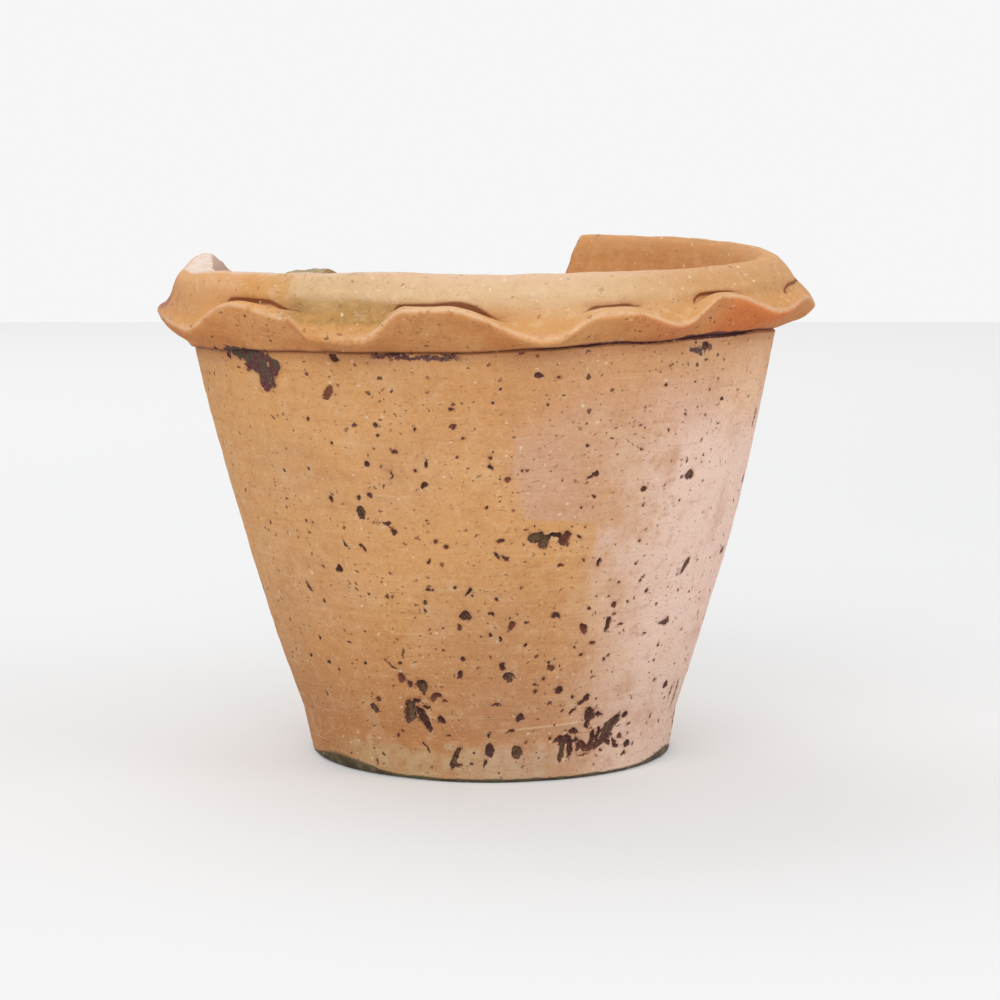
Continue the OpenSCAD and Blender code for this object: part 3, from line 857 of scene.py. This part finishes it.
    # dark flaked skin under the band on the left
    burnt = paint.mark("burnt") + (grain - 0.5) * 0.5 + (mottle - 0.5) * 0.3
    colour = paint.mix(burnt.step(-0.4, 0) * 0.35, colour, tint(140, 84, 66))
    flakes = paint.mix(mottle.step(0.42, 0.6), tint(96, 50, 50), tint(84, 76, 62))
    flakes = paint.mix(grain.step(0.5, 0.7) * 0.6, flakes, tint(146, 100, 84))
    colour = paint.mix(burnt.step(-0.04, 0.06), colour, flakes)

    # the pale film above the foot, and its dark worn edge
    film_top = 14 + (patchy - 0.5) * 14 + (mottle - 0.5) * 6
    film = (film_top - up).step(-1, 3) * turn.around(-14, 54).step(0, 0.5) * mottle.step(0.25, 0.6) * wall
    haze = paint.mix(turn.step(-20, 10), tint(204, 180, 138), tint(204, 178, 152))
    colour = paint.mix(film * 0.55, colour, haze)
    soaked = 1.6 + 3.8 * turn.around(-54, 28) + 2.8 * turn.around(72, 22) + (mottle - 0.5) * 2.5
    foot = (1 - up / soaked).step(-0.1, 0.2) * (1 - within)
    damp = paint.mix(mottle.step(0.4, 0.6), tint(50, 46, 38), tint(92, 86, 62))
    colour = paint.mix(foot * 0.92, colour, damp)

    # hollows: a brown stain round them, a painted highlight on their rim, dark purple edges and an olive or
    # grey middle
    pit = paint.mark("pit") + (grain - 0.5) * 0.9
    shade = paint.mark("tone") + (mottle - 0.5) * 0.9 + (grain - 0.5) * 0.8
    clod = paint.cloud(place, 1.8, 3)
    soot = paint.mix(shade.step(0, 0.4), tint(132, 76, 54), tint(80, 48, 44))
    crusted = shade.step(0.6, 0.9) * pit.step(0.05, 0.3) * clod.step(0.36, 0.5)
    soot = paint.mix(crusted, soot, tint(108, 84, 60))
    soot = paint.mix(clod.step(0.5, 0.36) * 0.6, soot, tint(54, 32, 36))
    soot = paint.mix(grain.step(0.56, 0.7) * pit.step(0.2, 0.4) * 0.6, soot, tint(160, 120, 90))
    colour = paint.mix(pit.step(-0.4, 0.05) * 0.42, colour, tint(160, 104, 78))
    # painted highlight: a thin pale line round the rim of each hollow
    colour = paint.mix(pit.around(-0.12, 0.12) * mottle.step(0.5, 0.6) * 0.5, colour, tint(236, 206, 170))
    hollow = pit.step(-0.02, 0.1)
    colour = paint.mix(hollow * 0.95, colour, soot)

    # specks, short dark strokes and pale flecks
    crowd = (0.4 + 0.6 * patchy.step(0.4, 0.58)) * (1 - within * 0.6)
    speck = paint.specks(paint.stretched(ragged, (1, 1, 1.3)), 4.2, 1, 0.5) * (0.6 + 0.4 * crowd)
    dust = paint.specks(paint.stretched(ragged, (1, 1, 1.5)), 1.9, 0.62, 0.5) * crowd
    strokes = paint.specks(paint.stretched(paint.wandering(place, 9, 9), (0.45, 0.45, 1.5)), 2.4, 0.5, 0.5)
    strokes = strokes * mottle.step(0.45, 0.6)
    dots = speck.or_(dust * 0.8).or_(strokes * 0.6) * (1 - hollow) * (1 - rim * 0.45)
    grit = paint.mix(patchy.step(0.4, 0.6), tint(132, 82, 58), tint(84, 50, 46))
    colour = paint.mix(dots * 0.88, colour, grit)
    flecks = paint.specks(paint.stretched(ragged, (1.1, 1.1, 1.6)), 2.9, 0.75, 0.25)
    colour = paint.mix(flecks * 0.6 * (1 - hollow), colour, tint(242, 222, 194))

    # worn and broken clay, with moss on its lowest part
    chalk = paint.mix(mottle.step(0.35, 0.65), tint(230, 212, 200), tint(220, 194, 176))
    mossy = (turn + (patchy - 0.5) * 24 + (mottle - 0.5) * 12).around(-144, 21).step(0, 0.5)
    moss = paint.mix(mottle.step(0.4, 0.6), tint(150, 134, 98), tint(186, 164, 134))
    chalk = paint.mix(mossy * (0.6 + 0.4 * mottle.step(0.3, 0.5)), chalk, moss)
    colour = paint.mix(mossy * up.step(162, 168) * 0.85, colour, moss)
    facet = turn.around(-99, 14).step(0, 0.4) * up.step(166, 172) * within
    colour = paint.mix(facet * 0.9, colour, tint(207, 188, 178))
    rubbed = paint.mark("worn") * (grain + mottle * 0.5).step(0.45, 0.7) * (0.4 + 0.6 * turn.step(-66, -76))
    broken = paint.mark("fresh").or_(rubbed)
    colour = paint.mix(broken, colour, chalk)

    paint.link(colour, paint.shader.inputs["Base Color"])
    paint.link(0.86 + (mottle - 0.5) * 0.2, paint.shader.inputs["Roughness"])
    paint.link(0.3, paint.shader.inputs["Specular IOR Level"])
    relief = (mottle - 0.5) * 0.5 + (grain - 0.5) * 0.5 + (streak - 0.5) * 0.3
    relief = relief - dots * 0.3 - hollow * 0.3 - soil * 0.2 - wrinkles * 0.15 + film * 0.15 + pale_ring_highlight * 0.35
    bump = paint.node("ShaderNodeBump", None, {"Strength": 0.8, "Distance": 0.6 * MM, "Height": relief})
    paint.link(bump, paint.shader.inputs["Normal"])
    return paint.owner


# ---------------------------------------------------------------- the pot
pot = broken_pot()
pot.data.materials.clear()
pot.data.materials.append(terracotta())
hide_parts("pot")
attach(pot, "root")

# ---------------------------------------------------------------- floor, light and camera
# The floor's grey, and how much it glows near by and far off
FLOOR_GREY = 0.62
GLOW_NEAR = (0.203, 0.207, 0.211, 1)
GLOW_FAR = (0.288, 0.288, 0.288, 1)
# How far back from the pot its glow starts to change, and where it is done
GLOW_FROM = 0.55
GLOW_TO = 1.7
# How far the floor reaches from the pot
FLOOR_SIDE = 6
FLOOR_FRONT = -3
FLOOR_BACK = 1.79
# Strength of the room's light on the pot, and of the backdrop where it is looked at
ROOM = 0.74
BACKDROP = 0.921
# Where the lamps and the camera look, in metres. The lens and its sensor are in millimetres
POT_MIDDLE = (0, 0, 0.09)
CAMERA_AT = (0.0033, -1.35, 0.278)
CAMERA_AIM = (0.0033, 0, 0.0926)
LENS = 132.7
SENSOR = 36


def seen_directly(paint):
    """1 for what is looked at, in gloss and through glass too, and 0 for the light that reaches the pot."""
    seen = paint.node("ShaderNodeLightPath", out="Is Camera Ray")
    seen = seen.or_(paint.node("ShaderNodeLightPath", out="Is Glossy Ray"))
    return seen.or_(paint.node("ShaderNodeLightPath", out="Is Transmission Ray"))


def studio_floor():
    paint = Paint(bpy.data.materials.new("studio_floor"))
    paint.link((FLOOR_GREY, FLOOR_GREY, FLOOR_GREY, 1), paint.shader.inputs["Base Color"])
    paint.link(1.0, paint.shader.inputs["Roughness"])
    paint.link(0.0, paint.shader.inputs["Specular IOR Level"])
    place = paint.node("ShaderNodeTexCoord", out="Object")
    back = paint.node("ShaderNodeSeparateXYZ", None, {0: place}, out="Y").step(GLOW_FROM, GLOW_TO)
    glow = paint.mix(back, GLOW_NEAR, GLOW_FAR)
    glow = paint.mix(seen_directly(paint), (0, 0, 0, 1), glow)
    paint.link(glow, paint.shader.inputs["Emission Color"])
    paint.link(1.0, paint.shader.inputs["Emission Strength"])
    mesh = bpy.data.meshes.new("studio_floor")
    corners = [(-FLOOR_SIDE, FLOOR_FRONT, 0), (FLOOR_SIDE, FLOOR_FRONT, 0)]
    corners += [(FLOOR_SIDE, FLOOR_BACK, 0), (-FLOOR_SIDE, FLOOR_BACK, 0)]
    mesh.from_pydata(corners, [], [(0, 1, 2, 3)])
    mesh.materials.append(paint.owner)
    return place_object("studio_floor", mesh)


def studio_light():
    world = bpy.data.worlds.new("studio")
    bpy.context.scene.world = world
    paint = Paint(world)
    room = paint.node("ShaderNodeBackground", None, {"Color": (1, 1, 1, 1), "Strength": ROOM})
    backdrop = paint.node("ShaderNodeBackground", None, {"Color": (1, 1, 1, 1), "Strength": BACKDROP})
    both = paint.node("ShaderNodeMixShader", None, {0: seen_directly(paint), 1: room, 2: backdrop})
    paint.link(both, paint.tree.nodes["World Output"].inputs["Surface"])
    softbox("key", (-0.5, -1.85, 1.35), 2, 18)
    softbox("back", (-0.5, 0.9, 1.5), 1.4, 8)
    softbox("fill", (1.5, -0.7, 0.9), 1, 5)


def softbox(name, place, size, watts):
    """A round soft light that faces the pot."""
    lamp = bpy.data.lights.new(name, "AREA")
    lamp.shape = "DISK"
    lamp.size = size
    lamp.energy = watts
    light = bpy.data.objects.new(name, lamp)
    bpy.context.scene.collection.objects.link(light)
    light.location = place
    light.rotation_euler = (Vector(POT_MIDDLE) - light.location).to_track_quat("-Z", "Y").to_euler()


def studio_camera():
    data = bpy.data.cameras.new("camera")
    data.lens = LENS
    data.sensor_width = SENSOR
    camera = bpy.data.objects.new("camera", data)
    bpy.context.scene.collection.objects.link(camera)
    camera.location = CAMERA_AT
    aim = Vector(CAMERA_AIM) - camera.location
    camera.rotation_euler = aim.to_track_quat("-Z", "Y").to_euler()
    bpy.context.scene.camera = camera


studio_floor()
studio_light()
studio_camera()
bpy.context.scene.view_settings.view_transform = "Standard"
